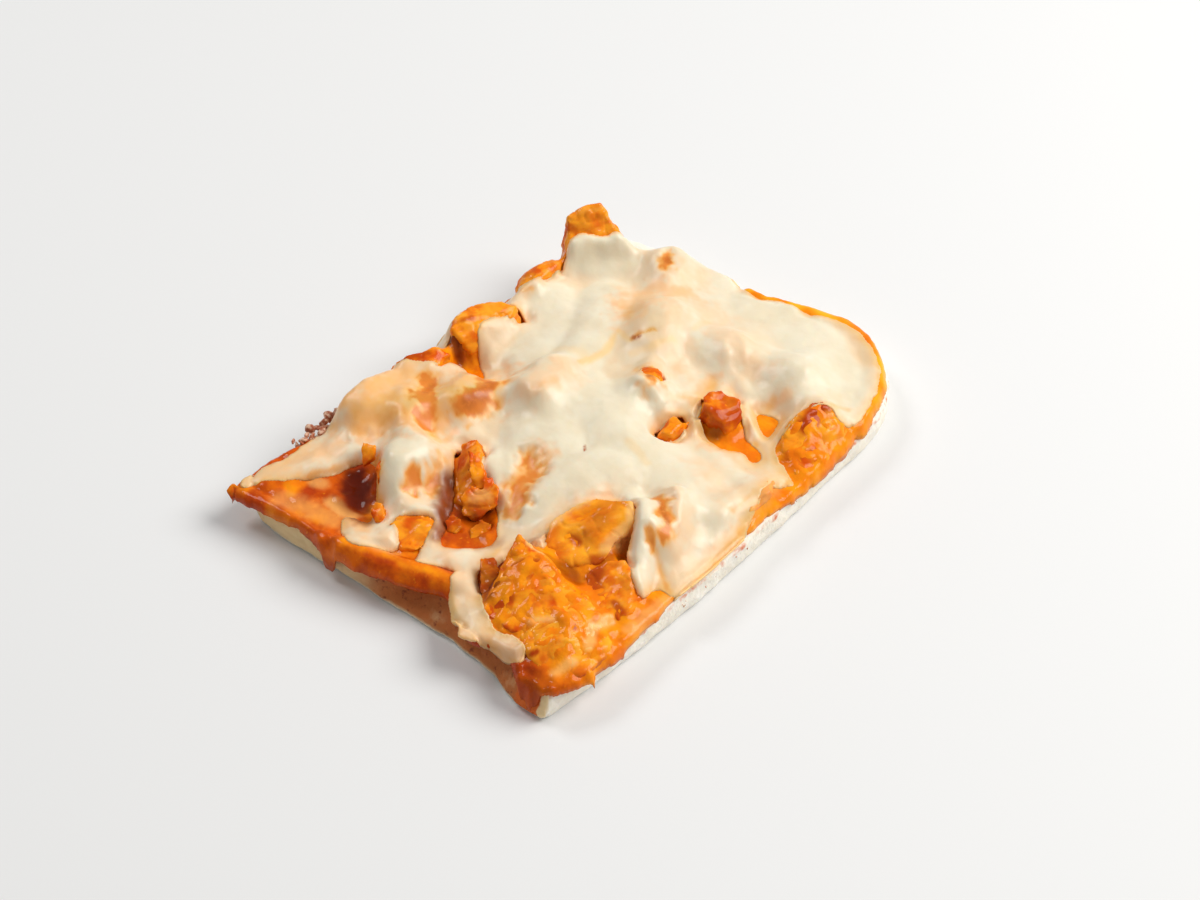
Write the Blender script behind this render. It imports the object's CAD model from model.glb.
"""Looks of a rectangular pizza slice: dough, wet orange sauce, torn chicken and a draped sheet of cheese.

Plan positions are in millimetres from the slice's front corner: x runs along the long cut side, y along
the short front side. Heights are in millimetres over the surface that the slice rests on.
"""

import math

import bmesh
import bpy
import numpy as np
from mathutils import Matrix, Vector, noise
from mathutils.bvhtree import BVHTree


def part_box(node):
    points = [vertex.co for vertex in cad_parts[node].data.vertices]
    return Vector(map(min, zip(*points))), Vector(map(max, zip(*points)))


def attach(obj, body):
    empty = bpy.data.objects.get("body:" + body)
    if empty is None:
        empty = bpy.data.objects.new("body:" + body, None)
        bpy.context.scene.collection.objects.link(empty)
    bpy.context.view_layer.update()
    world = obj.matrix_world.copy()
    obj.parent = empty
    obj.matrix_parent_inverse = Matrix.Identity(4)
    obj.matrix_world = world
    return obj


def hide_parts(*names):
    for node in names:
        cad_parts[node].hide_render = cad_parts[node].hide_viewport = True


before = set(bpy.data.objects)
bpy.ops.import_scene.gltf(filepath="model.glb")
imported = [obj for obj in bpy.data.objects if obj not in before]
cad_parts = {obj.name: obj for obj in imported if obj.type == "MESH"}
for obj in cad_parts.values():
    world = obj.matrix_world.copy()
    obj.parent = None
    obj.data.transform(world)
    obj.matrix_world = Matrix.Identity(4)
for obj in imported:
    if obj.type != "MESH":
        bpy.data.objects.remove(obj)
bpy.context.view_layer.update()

MM = 0.001
BODY = "root"

# Where the plan's corner lies in the frame: the dough's box reaches a little past it on both sides.
dough_low, dough_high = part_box("dough")
CORNER = Vector((dough_low.x + 1.2 * MM, dough_low.y + 3.2 * MM, 0.0))
DOUGH_TOP = dough_high.z / MM
SAUCE_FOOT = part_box("sauce")[0].z / MM
# The sauce: its usual depth, its depth at the rim, the rim's width and how far it hangs at the least.
SAUCE_DEPTH = 1.7
SAUCE_LEAST = 0.35
SAUCE_LIP = 1.6
SPILL_LEAST = 0.9
SAUCE_LEVEL = SAUCE_FOOT + SAUCE_DEPTH

# How close two points lie, in metres, when they are one.
TOUCHING = 0.00001
# The spacing of each piece's even net.
DOUGH_NET = 0.8
TORN_NET = 0.55
BURIED_NET = 0.7
BIT_NET = 0.35

# How far the dough's sides wave and dent, how far its front side leans in, and how far its corner swells.
DOUGH_WAVES = 0.5
DOUGH_PORES = 0.32
FRONT_LEAN = 2.6
MIDDLE_LEAN = 2.8
CORNER_SWELL = 2.2

# The cheese: the round of the valleys that it bridges, its thickness between lobes, and how much thinner
# it lies over a crest and where sauce shows through. The last is the round of its upper edges.
CHEESE_BRIDGE = 9.0
CHEESE_THICKNESS = 0.85
CREST_THINNING = 0.45
BLED_THINNING = 0.5
CHEESE_ROUND = 1.8

# The pieces of chicken, in the order in which they are made.
CHUNK_NODES = sorted(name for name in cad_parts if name.startswith("chunk_"))

# The plan grid that the sauce and the cheese are worked out on.
CELL = 0.6
GRID_X = np.arange(-6.0, 166.0, CELL)
GRID_Y = np.arange(-9.0, 118.0, CELL)
X, Y = np.meshgrid(GRID_X, GRID_Y)

# The cheese's outer rim, and the holes through which the toppings show: x and y of each point in turn.
CHEESE_RIM = (
    45.6, -3.4, 51, -4, 61, -4, 70, -3.2, 77, -1.2, 83, 0.8, 88.5, 2.2, 93, 0.4, 96, -0.6, 98.4, 4,
    102.5, 10.2, 107.5, 11, 112.5, 10.4, 118, 9.2, 121, 5.6, 120, 2.2, 123.5, -0.6, 130, 0.2,
    138.4, 2.8, 146.5, 7.4, 151.6, 13, 155, 19, 156.4, 25.5, 155.4, 32, 152.6, 38, 152.6, 43.5, 151, 49,
    149, 55, 152, 63, 152, 71, 151, 78, 148, 85, 143.6, 90, 137, 94, 131.4, 97.6, 128, 102, 123, 103.6,
    118, 101.6, 110, 102, 104, 105.4, 100, 108, 96, 110.8, 88, 111.2, 78, 110.8, 70, 110, 61, 111,
    52, 110.8, 45, 110.8, 37, 110.4, 30, 109.6, 22, 109, 14.5, 108.6, 8, 110.6, 3, 111.6, -1, 110.6,
    -0.6, 108.2, 3.4, 106.2, 8, 101.8, 12, 98.4, 16.4, 95.2, 21, 93.4, 26.6, 91.8, 27.6, 88, 25, 84.8,
    20.4, 80.4, 15.6, 76.6, 12.2, 74.6, 11, 76, 10.4, 79, 9, 81.4, 7, 80.4, 3.6, 76.4, 1.6, 71.4,
    4.6, 66.4, 9.6, 61.8, 13.4, 65, 14.6, 67.8, 18, 66.4, 22.2, 61.6, 18.2, 59, 12.4, 57.4, 8.6, 54,
    11.5, 49, 13, 45, 9.4, 43, 4.6, 39.4, 1.8, 35, 0.4, 31.6, -1.6, 29.6, -0.6, 26, 1, 22, 0.6, 17,
    1, 11.4, 4.6, 13.2, 6.4, 17.6, 5.2, 22, 7.2, 28, 11.8, 34.4, 17.4, 41, 21.5, 39.2, 24.5, 38.8,
    28.4, 37.4, 29.6, 33, 31, 30, 33.4, 31.4, 36.8, 34, 41.6, 33.4, 46, 31.8, 51.4, 30, 55, 26,
    54.8, 20.5, 50, 16.8, 44, 13.4, 40, 9.2, 37.6, 6, 36.8, 3.4, 38.2, 2, 41.4, 2.4, 43.4, 0.4,
    43.6, -2,
)
CHEESE_HOLES = (
    (
        48.8, 72.5, 43, 72.8, 36, 67, 31, 62.2, 22.5, 57.6, 18, 54, 22, 48.6, 27.5, 44.8, 33, 48.4,
        37.5, 53, 39.7, 58.5, 42.6, 63.6, 47.6, 66.8,
    ),
    (
        52.5, 109.6, 60, 108.4, 65, 106.6, 70, 103.4, 76, 104.6, 86, 105.4, 92, 105.2, 95, 105,
        96.4, 102, 96.2, 95.5, 91, 96.2, 86, 99.3, 80, 99, 76.5, 95.5, 73, 90.3, 70, 91.5, 68, 96,
        64, 98.7, 60, 102.7, 56.5, 107,
    ),
    (
        102.8, 35.3, 107.9, 30, 105, 24.8, 101.5, 19.6, 99.4, 13.6, 97, 11.8, 95.6, 13.4, 96.6, 18,
        94.2, 23, 95, 30.6, 99.7, 33.8,
    ),
    (83.9, 37.4, 88.7, 38.2, 93, 36.3, 92.5, 33.3, 88.2, 32.4, 84.2, 33.8),
    (110.9, 23, 112.4, 17.2, 105.2, 15.6),
    (94.8, 50.6, 97.2, 52.8, 99.6, 50, 98.8, 47.2, 96.2, 47.2),
)

# How the toppings heap up under the cheese: middle x and y, half length, half width, turn and height.
HEAPS = (
    (82, 60, 66, 46, 6, 3.6), (66, 42, 34, 20, 26, 1.8), (112, 74, 36, 26, 4, 2),
    (132, 40, 24, 26, 12, 1.8), (44, 92, 22, 14, 6, 1.8), (74, 16, 22, 14, -10, 1.6),
)

# Lobes of thicker cheese: the x and y of each point of its middle line, its half width and extra height.
CHEESE_LOBES = (
    ((60, 57, 70, 63, 79, 60, 82, 51, 78, 43), 10.5, 2.4), ((43, 46, 52, 42, 62, 37, 69, 30), 8, 2.2),
    ((57, 62, 49, 60, 43.5, 54), 5.4, 1.9), ((75, 31, 73, 20, 67, 9), 10.5, 2.2),
    ((62, 27, 53, 16, 45, 8.6, 38.6, 3.6), 3.6, 1.5), ((31, 85, 29, 76, 23, 66), 6.6, 1.3),
    ((27, 99, 34, 92, 38, 83), 5.6, 1.7), ((38, 104.5, 49, 107), 5.4, 1),
    ((68, 81, 78, 79, 86, 71.5, 89, 63), 2.6, 1.4), ((119, 85, 108, 79, 97, 73, 91.5, 71.4), 7.4, 2.4),
    ((146, 52, 149, 42), 7.4, 1.8), ((121, 47, 120, 42), 8, 1.5), ((125, 30, 128, 27), 8, 1.5),
    ((126, 47, 124, 40, 113, 30), 2.6, 1.2), ((146, 31, 139, 22, 128, 12), 9.5, 1.9),
    ((133, 62, 141, 70), 9.5, 1.8), ((108, 96, 98, 87, 84, 84), 6.4, 1.5),
    ((105, 44, 94, 43, 89, 50), 6, 1.5), ((118, 26, 110, 26, 103, 17), 2.4, 1),
    ((119, 19, 112, 14.6, 104, 12.4), 2.2, 0.9), ((92, 24, 87, 15, 88, 8), 3.4, 0.7),
    ((10, 104.6, 20, 100.4, 30, 97), 4, 0.6), ((5, 70, 12, 67), 3, 0.5),
    ((121, 106, 127, 99, 134, 92), 6.5, 1.6), ((142, 86, 147, 78, 148, 66), 6, 2.4),
    ((24, 50, 14, 48, 9, 44), 3.6, 0.9),
)
# Crests where the cheese lies thin over a topping: middle, half sizes, turn and strength.
THIN_CRESTS = (
    (50.4, 91.6, 8, 5.4, 30, 1), (60.6, 80.6, 9, 6.2, 10, 1), (77, 72.4, 9, 5.6, 0, 0.7),
    (116, 60, 12, 9, 10, 0.75), (124, 14, 6, 4.6, 0, 0.7), (120, 38, 7, 2.4, 50, 0.8),
    (42, 36, 9, 3.6, 6, 1), (36, 104, 8, 4, 0, 0.6), (24, 68, 5, 4, 60, 0.6),
    (62, 17, 3.6, 9, -24, 0.8), (95, 52, 6, 4.4, 10, 0.7), (140, 78, 5, 4, 0, 0.8),
    (97, 9, 12, 10, 0, 0.8), (32, 78, 5, 7, 20, 0.35),
)

# Corners of the pieces of chicken that lie bare, as plan x, y and height.
TORN_CORNERS = {
    "chunk_front_peak": (
        (27, 35.4, 21.6), (25.6, 33, 21.4), (21.5, 33.6, 19.2), (9.6, 31.6, 13.8), (6.4, 29.4, 13),
        (6.6, 21, 13.2), (9, 13, 13.2), (18, 9, 14.8), (25.5, 15, 15.8), (27.8, 26.7, 19.2), (7, 31, 9),
        (7, 13, 9), (25, 11, 9), (29, 34, 9),
    ),
    "chunk_front_low": (
        (8.6, 20, 13.2), (20.7, 19, 15.2), (26.8, 12.4, 15), (24.4, 5.5, 13.8), (21.8, 0.7, 12.4),
        (17, -2.8, 11.2), (11, -2.8, 10.6), (5.4, -0.4, 10.2), (2.9, 5, 10.8), (3.2, 9.9, 12),
        (5.6, 14.4, 13), (12.3, 6.4, 15.2), (18, 9, 15.8), (3.6, 1, 8), (20, -3, 8), (26, 6, 8),
        (27, 18, 8), (6, 19, 8),
    ),
    "chunk_front_side": (
        (33.2, 18, 14.6), (38.4, 15.6, 16.2), (41, 11.6, 16), (37.4, 5.4, 15.2), (31.6, 1.4, 13.6),
        (27.6, 2.6, 13), (26.8, 7.7, 13.2), (29.3, 14.5, 13.4), (42, 17, 8.5), (40, 1, 8.5),
        (27, 1, 8.5), (27, 15, 8.5),
    ),
    "chunk_front_yellow": (
        (55, 21.4, 21), (50.4, 29.4, 21), (44, 33, 20.2), (37, 34.2, 18.6), (32.6, 31, 15.6),
        (30.8, 26, 13.8), (33.6, 20.6, 13.4), (38, 16.6, 15.2), (47, 16.6, 18.6), (53, 18, 19.6),
        (34, 30, 9), (35, 18.6, 9), (54, 18, 9), (54, 30, 9), (40, 34, 9),
    ),
    "chunk_window": (
        (34.6, 57, 14.2), (38.4, 58.8, 16), (43, 64, 18), (49, 70, 18), (46, 73, 16),
        (38.6, 69.4, 14.8), (31.6, 62.6, 13), (31, 58.6, 12.4), (33, 56, 9), (50, 68, 9), (46, 74, 9),
        (31, 63, 9),
    ),
    "chunk_right_window": (
        (97.4, 24.6, 16), (97, 30.8, 18.2), (100.4, 34.4, 19), (105.8, 32.2, 18.6), (107.4, 27, 17.4),
        (103.6, 23, 15.6), (97, 23, 9.5), (96, 34, 9.5), (107, 35, 9.5), (108.6, 24, 9.5),
    ),
    "chunk_right_side": (
        (98.6, 0.6, 11.6), (103.4, 9.4, 13.6), (111, 12.6, 16.4), (118, 10.6, 19), (122.4, 6.4, 17.4),
        (121, -0.6, 12.6), (110.6, -2.2, 11.4), (103, -2, 11.2), (98, 0, 8.5), (122, 0, 8.5),
        (124, 9, 8.5), (104, 12, 8.5),
    ),
    "chunk_back_corner": (
        (127.6, 107.7, 26.8), (132.1, 106.7, 28.3), (137, 103.2, 29.1), (134.8, 93.2, 22.4),
        (122.6, 101.8, 19), (125, 106.4, 19.4), (131, 109, 25.6), (139, 104.6, 25.6), (139.4, 97, 20),
        (125, 108.8, 9.5), (126, 99, 9.5), (140, 105, 9.5), (139, 93, 9.5), (134, 92, 9.5),
    ),
    "chunk_left_hump": (
        (33.6, 107.4, 18.6), (38, 108, 20.2), (44, 107.6, 19.8), (50, 105.8, 17.6), (50.6, 100, 17),
        (41, 97, 18.6), (33.4, 100.6, 17.6), (32.4, 108.4, 9.5), (32.4, 99, 9.5), (51, 108.6, 9.5),
        (51, 98, 9.5),
    ),
    "chunk_front_patch": (
        (10, 61.4, 12.2), (13.6, 68.4, 13.4), (18, 68.4, 14.4), (24.4, 63, 14), (21, 57.8, 12.8),
        (12.4, 56.6, 12), (10, 61, 9), (23, 60, 9), (15, 68, 9),
    ),
    "chunk_back_edge": (
        (74.1, 103.4, 21), (79, 105.8, 21.6), (85, 106, 22), (90, 103.4, 21.8), (94.6, 97.4, 20),
        (88.6, 96.4, 18.4), (80, 97.4, 17.4), (74.4, 99.4, 18), (75, 106, 9.5), (95, 106, 9.5),
        (96, 95, 9.5), (76, 96, 9.5),
    ),
    "chunk_left_edge": (
        (55.4, 107.6, 19), (60.4, 104.6, 20.4), (66.4, 102.8, 20), (68.4, 98.6, 18), (63, 98.4, 17.6),
        (56.6, 102.4, 17.6), (54, 109, 9.5), (69, 108, 9.5), (70, 98, 9.5), (55, 100, 9.5),
    ),
}
# Small torn bits that lie in the hollows: corners of each, as above.
BIT_CORNERS = (
    (
        (22.6, 57, 10.8), (24.2, 59.4, 12.6), (26.8, 58.8, 13.4), (27.6, 56.2, 13), (26, 54, 12),
        (23.6, 54.4, 10.8), (24, 57, 8.6), (26.6, 56, 8.6),
    ),
    (
        (28.6, 57, 12), (31.4, 60.4, 14.8), (35.6, 60.2, 16.4), (37.4, 56.6, 15.4), (35, 52.6, 13.4),
        (31.4, 53.4, 12), (31, 54, 9), (36, 58, 9),
    ),
    (
        (34, 52.4, 12.8), (35, 55.8, 14.6), (38.8, 58.8, 16.8), (41.6, 58, 16.6), (40.2, 54.6, 15.4),
        (37, 51.6, 13.2), (37, 54, 10), (40, 57, 10),
    ),
    (
        (24.6, 50.6, 10.8), (27, 53, 11.6), (31, 52.6, 12), (32.4, 49.6, 11.6), (28, 47.8, 10.8),
        (26, 51, 8.6), (30, 50, 8.6),
    ),
    (
        (36.6, 59.6, 14.6), (37.8, 63, 18), (42, 66.6, 20), (43.4, 63.4, 19), (40.6, 59, 17),
        (38, 57.4, 14.8), (38.6, 60, 11), (41, 64, 11),
    ),
    (
        (22.8, 88, 14.2), (27.4, 92.6, 17.8), (28.8, 88.6, 18.2), (26.4, 87.2, 16.6),
        (27.6, 91.4, 14.8), (28, 88, 13.6), (24.2, 88.4, 13.2),
    ),
    (
        (11.8, 72.6, 12.4), (13, 75.8, 13.8), (15.6, 76.2, 14.8), (17, 73.8, 15), (15.2, 71, 14.2),
        (12.6, 70.8, 13), (13, 72, 9), (16, 74, 9),
    ),
    (
        (16, 38.6, 13.4), (18.6, 41.4, 14.8), (22, 39.4, 14.6), (19, 34.6, 14), (14.6, 32.4, 13.2),
        (11, 32.6, 12.4), (12.6, 35.6, 12.8), (15, 36, 9), (20, 38, 9), (12, 33, 9),
    ),
    (
        (60.4, 101, 17.8), (63.4, 103, 19.4), (66.4, 100.4, 18.6), (64.6, 98.4, 17.2),
        (61.6, 98.8, 16.8), (61.6, 100, 12), (65.6, 100, 12),
    ),
    (
        (-4.6, 110.4, 8.6), (-4, 113, 10.2), (-1.4, 113, 11), (-0.8, 110, 10.6), (-3, 109.2, 9.2),
        (-4, 111, 5.8), (-1.6, 112, 5.8),
    ),
)
# Trails of crumbs: plan x, y, height and how far the crumbs stray at each point.
BACK_CRUMBS = (
    (16, 110.6, 9.4, 0.7), (24, 110.4, 10.4, 0.9), (31, 109.8, 11, 0.9), (37, 109.4, 11.4, 0.7),
)
SIDE_CRUMBS = ((34, -3.3, 5.4, 0.4), (60, -3.3, 6.4, 0.4), (96, -3.3, 7, 0.4))
# How yellow and how browned a bare piece is.
CHUNK_TINTS = {
    "chunk_front_yellow": (0.8, 0.2),
    "chunk_front_peak": (0.3, 0.4),
    "chunk_front_low": (0.6, 0.15),
    "chunk_front_side": (0.3, 0.7),
    "chunk_front_patch": (0.3, 0),
    "chunk_right_side": (0.5, 0.4),
    "chunk_right_window": (0, 1),
    "chunk_window": (0.1, 0.9),
    "chunk_back_corner": (0.45, 0.25),
    "chunk_back_ridge": (0.4, 0.8),
    "chunk_back_edge": (0.6, 0.2),
}

# The sauce's rim, where it ends on the dough's top or spills over the dough's edge.
SAUCE_RIM = (
    -4, 108.6, -2.8, 102, -1.4, 94, -1.2, 86, -2.6, 79, -2.6, 75, -1.4, 70, -1, 66, 0.4, 60, 2, 53,
    4.4, 47, 6.4, 42, 4.6, 38.4, 1.6, 34, 0, 28, 1, 22, 0.4, 15, -1.8, 11, -2.6, 6, -0.8, 2, 1.6, -0.6,
    6, -2.4, 10.6, -4.4, 13.6, -3.4, 20, -4.2, 26, -3.4, 34, -3.2, 46, -2.4, 60, -2, 75, -2, 90, -2.8,
    105, -3.6, 118, -2.8, 130, -1.8, 139, 0.8, 148, 6, 156, 15, 160, 26, 158, 38, 153, 51, 151.2, 66,
    149.6, 80, 146, 90, 140, 98, 134, 105, 126, 109, 112, 109, 94, 109.4, 75, 110.2, 60, 111.6, 48, 111,
    36, 110.6, 24, 110.2, 12, 111.8, 4, 112.8, -2, 112.4,
)
# Where sauce runs down the dough's side: middle, half sizes, turn and how far down.
SPILLS = (
    (-4, 84, 6, 12, 0, 1.2), (-4, 76, 5, 2.6, 0, 6), (20, -6, 12, 5, 0, 1.6),
    (10.6, -7, 1.3, 4, 0, 4.4), (22, -7, 1.6, 4, 0, 3), (-3, 6.6, 4, 3.6, 0, 7), (102, -5, 26, 4, 0, 2),
    (158, 22, 8, 20, 0, 1.6),
)
# Rolls of thick sauce: the middle line as above, half width and how high it swells.
SAUCE_ROLLS = (
    ((10, 43.6, 8, 50, 4.2, 62, 0.6, 75), 3.4, 3), ((0.6, 75, -0.6, 80), 3, 2.2),
    ((-0.6, 84, -0.2, 96, -1, 108), 2.4, 1.2),
    (
        (124, 0.4, 133, 1.6, 141, 4.6, 149, 10.6, 155, 19, 156.6, 28, 154.6, 37, 153, 46, 150.8, 56),
        3.4, 2.5,
    ),
    ((4, 106, 15, 101, 27, 95), 3, 1.6),
)
# Hollows where the sauce is darkest: middle, half sizes, turn and depth of colour.
DARK_HOLLOWS = (
    (18.6, 86, 9.4, 6, 50, 1), (14.6, 80.4, 3, 5, 0, 0.8), (34, 57, 11, 6.4, 50, 0.8),
    (30, 22, 3.4, 6, 0, 0.7), (38, 16, 6, 3, 0, 0.5), (22, 38, 6, 3, 10, 0.8),
    (15, 36, 8, 4.6, 45, 0.9), (72.6, 102, 3, 4.6, 0, 0.9), (68, 95, 3.4, 3.6, 0, 0.9),
    (98, 27, 4, 3.4, 0, 0.7), (3.4, 16, 3, 9, 0, 0.5), (0.6, 6, 3.4, 7, 0, 0.45),
    (31, 51, 3, 2.6, 0, 0.7),
)
# Painted tones are strokes: the x and y of each point of a middle line, a half width and a strength.
# Thin pale films of cheese that melted into the sauce and over the chicken.
CHEESE_FILMS = (
    ((36, 35, 44, 33.6, 48, 32), 2.6, 0.8), ((50, 17.6, 54.4, 20.6), 1.5, 0.7),
    ((2.6, 98, 5, 92, 6.4, 83), 3.6, 0.4), ((10.6, 87.6, 10.4, 80), 2.4, 0.75),
    ((13, 97, 14, 94), 2, 0.6), ((6.6, 77, 4.6, 70, 8, 62), 2.4, 0.4),
    ((60, -2.6, 76, 1.4, 92, 3), 3.4, 0.5), ((15.6, 1.6, 20, 4.4, 26, 4), 1.5, 0.8),
    ((11, 17, 15, 13), 1, 0.5), ((28, -1.4, 42, -1.4), 2, 0.5), ((4.6, 3.4, 9.4, 2), 1.6, 0.7),
    ((27, 31.6, 27.6, 27.6), 1, 0.8), ((41, 18.4, 48.4, 17.6), 1.8, 0.6),
    ((34, 57.6, 36.6, 55.4), 2, 0.5), ((140, 107, 130, 110), 3, 0.3),
)
# Sauce that is amber, because it lies thin or is mixed with melted cheese.
AMBERED = (
    ((9.6, 45, 6.6, 56, 3.8, 66, 1.8, 73), 1.8, 0.85), ((11, 61, 16, 63, 21, 62), 5, 1),
    ((7, 99, 16, 101, 26, 98), 2.6, 0.9), ((3, 93, 6, 84), 3.6, 0.5), ((-1, 109, 6, 107.6), 2.2, 0.6),
    ((12, 75, 16, 78), 2, 0.8), ((7, 46, 10, 41), 2.6, 0.5), ((-2, 92, -1.6, 99), 1.2, 0.5),
    ((58, 108, 96, 108), 8, 0.8),
)
# Cheese that darkens into a hollow beside it.
SHADED = (
    ((12, 82, 11.6, 77), 3.4, 0.95), ((35, 67, 28.6, 62, 21, 56), 4.2, 1), ((28, 44, 24, 47), 2.4, 0.4),
    ((27.6, 92, 20, 94.4, 13, 98), 1.5, 0.35), ((29.6, 35, 33, 33.4), 2.6, 0.5),
    ((0.6, 22, 2, 13), 3, 0.3),
)
# Cheese that is tan, because it lies thin over the chicken or caught the heat.
BLUSHED = (
    ((36, 101, 41, 94, 47, 86), 11, 1.1), ((8, 88, 8.6, 80, 10, 74), 4, 1),
    ((4, 72, 9, 66, 12, 64), 3.4, 0.6), ((14, 71, 25, 69, 33, 68), 4, 0.45),
    ((8, 36, 13, 46, 18, 55), 5, 0.65), ((50, 87, 61, 85, 69, 86), 11, 0.95),
    ((49, 91, 59, 96), 5.5, 0.8), ((70, 70, 82, 69), 6.5, 0.6), ((41, 49, 48, 51, 56, 53), 5, 0.75),
    ((36, 36, 47, 34.5, 56, 30), 4, 0.7), ((44, 0, 53, 3, 60, 8, 64, 18), 6, 0.55),
    ((52, -2.5, 72, -2), 4, 0.8), ((82, 0, 94, 5, 96, 17, 93, 26), 5.5, 0.7),
    ((1, 38, 1, 24, 3, 12), 4, 0.75), ((99, 36.5, 110, 38.6), 3.6, 0.9),
    ((106, 62, 117, 74, 128, 82), 4, 0.55), ((112, 60, 122, 62), 7, 0.6), ((119, 64, 127, 61), 3, 0.4),
    ((132, 76, 138, 86), 5.5, 0.4), ((103, 103, 117, 105), 4, 0.75),
    ((115, 70, 124, 76, 132, 71), 9, 0.85), ((132, 80, 142, 70), 8, 0.5),
    ((108, 48, 114, 58, 110, 68), 8, 0.55), ((120, 32, 126, 48, 131, 60), 8, 0.5),
    ((78, 6, 83, 18), 8, 0.45), ((46, 118, 52, 106, 48, 96, 42, 100), 12, 1),
    ((79, 92, 96, 95), 4, 0.4), ((109, 23, 118, 20), 3.6, 0.7), ((118, 36, 131, 40), 4.6, 0.4),
    ((119, 12, 127, 9), 4, 0.4), ((0, 110, 14, 106, 26, 101), 5.4, 0.85), ((34, 104, 50, 106), 5, 0.4),
    ((20, 62, 16, 68), 3, 0.4),
)
# Orange that shows through the cheese.
BLED_EDGE = {"rough": 0.45, "soft": (0.0, 1.4)}
BLED = (
    ((45, 86, 49, 90.4, 56, 95), 4.4, 1.55), ((54.6, 80.6, 61, 79.4, 69, 82.4), 4.6, 1.45),
    ((66, 84, 69, 86), 3.6, 1.1), ((37, 104, 45, 104, 52, 101), 7.5, 0.5),
    ((58.6, 76.6, 64, 76.6), 2, 0.8), ((37, 100, 42, 93, 48, 87), 8, 0.65),
    ((56, 88, 62, 87, 68, 87), 6, 0.5), ((25, 72, 28, 73), 2.2, 1.2),
    ((24.4, 69.6, 25.4, 71), 1.4, 1.3), ((29, 69, 33, 70.6, 37, 72.6), 2.8, 1),
    ((28, 89, 25, 84.6, 20.4, 80, 15.6, 76), 2.2, 0.95), ((12, 99.4, 20, 95.2, 26, 93), 1.6, 0.8),
    ((52.6, 8.2, 56, 10, 57.4, 13, 60.4, 15, 61.4, 19.4), 2.4, 1.35), ((48.6, 8.4, 50, 11), 1.6, 1.1),
    ((38, 48, 46, 51, 52, 54), 4.4, 1.15), ((20, 41, 27, 42), 2.4, 0.5),
    ((39, 35.6, 50, 32.6, 56.6, 28), 1.8, 0.7), ((70, 68, 77, 66.8), 1.8, 0.4),
    ((106, 63.4, 110.4, 60), 1.3, 0.9), ((112, 70, 118, 75), 2.6, 0.45),
    ((92.6, 46.6, 98, 50.6), 3.4, 1.2), ((96, 53.6, 97, 55.6), 1.4, 0.5),
    ((137.4, 77.6, 139.8, 79.6), 2.6, 1.3), ((94, 41.6, 97.4, 40), 1.6, 0.5),
    ((96, 14.6, 101, 16), 2, 0.7), ((104, 35, 110.6, 38), 2, 0.6), ((108, 30, 112, 33.6), 2.2, 0.4),
    ((110, 21, 116, 22), 2, 0.6), ((60, -2.6, 68, -2, 82, -0.6, 96, 0.4), 2, 0.7),
    ((49, 8, 46, 3, 44, -1), 1.6, 0.75), ((74, 2.8, 84, 3.2), 1.2, 0.5),
    ((103.4, 103, 105, 101), 1.6, 0.6), ((119, 9, 126, 4), 2, 0.5),
    ((150.4, 8, 156.4, 20, 156, 32), 2.4, 0.5),
)
# Brown spots that caught the heat.
BROWNED = (
    ((105.6, 64, 106.4, 62.2), 0.9, 1), ((63.8, 45, 65.2, 46.4), 0.45, 1),
    ((56, 80.6, 61, 79.8, 66.6, 81.4), 1.9, 0.55), ((51.6, 92, 56.4, 94.4), 1.3, 0.45),
    ((138.6, 78.2, 139.6, 79.2), 1.3, 0.5), ((94, 48, 97.4, 49.4), 1.2, 0.5),
    ((55.4, 9.6, 60.4, 16.4), 0.9, 0.5),
)
# Lines of yellow oil in the cheese's folds.
OILED = (
    ((89, 68.4, 98, 67.2, 104.4, 69.4), 1.3, 0.9), ((102, 60.6, 105, 57.4, 112, 54.6), 1.5, 0.6),
    ((106.4, 69.4, 104.8, 64), 1.1, 0.8), ((90, 77, 92, 70), 2.4, 0.35),
    ((73.6, 38, 71.6, 30), 1.5, 0.4), ((120, 53, 127, 54), 1.4, 0.4),
)
# Rust brown marks on the bare chicken.
RUSTED = (
    ((9.6, 30.6, 12, 25.6), 1.6, 0.7), ((19.6, 30, 25.4, 24.6), 1.5, 0.8), ((14, 31, 18, 27), 1, 0.5),
    ((38, 27.4, 38.6, 24.6), 1.5, 0.8), ((42, 23.6, 52.6, 25.4), 3.4, 0.5),
    ((30, 12.6, 37, 17.4), 2.8, 0.9), ((29.6, 3.4, 30.6, 6.4), 1.2, 0.8), ((112, 7.4, 120, 8), 3, 1),
    ((104, 3, 109, 0.6), 1.6, 0.5), ((97.4, 26.6, 104.6, 24), 2.6, 0.8),
    ((97, 31.6, 98.6, 27), 1.4, 0.9), ((102, 30, 105, 31), 2.6, 0.4),
    ((57, 106.4, 63.4, 102.6), 1.3, 0.9), ((126.6, 106.6, 127.4, 104), 1.2, 0.7),
    ((78, 103, 81, 102), 1.1, 0.7), ((4.6, 10.6, 5.8, 10), 0.8, 1), ((16.2, 6.8, 17, 7.2), 0.5, 1),
    ((24, 58.6, 26.4, 55.4), 2.6, 0.5), ((11, 32.6, 20, 40), 3.6, 0.2), ((132, 104, 136, 98), 1.2, 0.4),
    ((33, 66.6, 44, 70.6), 2.2, 0.6),
)
# Where the cheese's edge melts thinly into the sauce: middle, half sizes and turn.
MELTED_EDGES = (
    (84, 6, 22, 8, 4), (56, 2, 18, 8, 0), (112, 14, 14, 5, 0), (6, 30, 5, 12, 0), (28, 36, 8, 5, 0),
    (8, 104, 14, 4, 0), (150, 20, 6, 14, 0), (48, 31, 12, 6, -20), (102, 30, 14, 12, 0),
    (9, 82, 4, 10, 0), (90, 36, 9, 6, 0),
)


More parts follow.
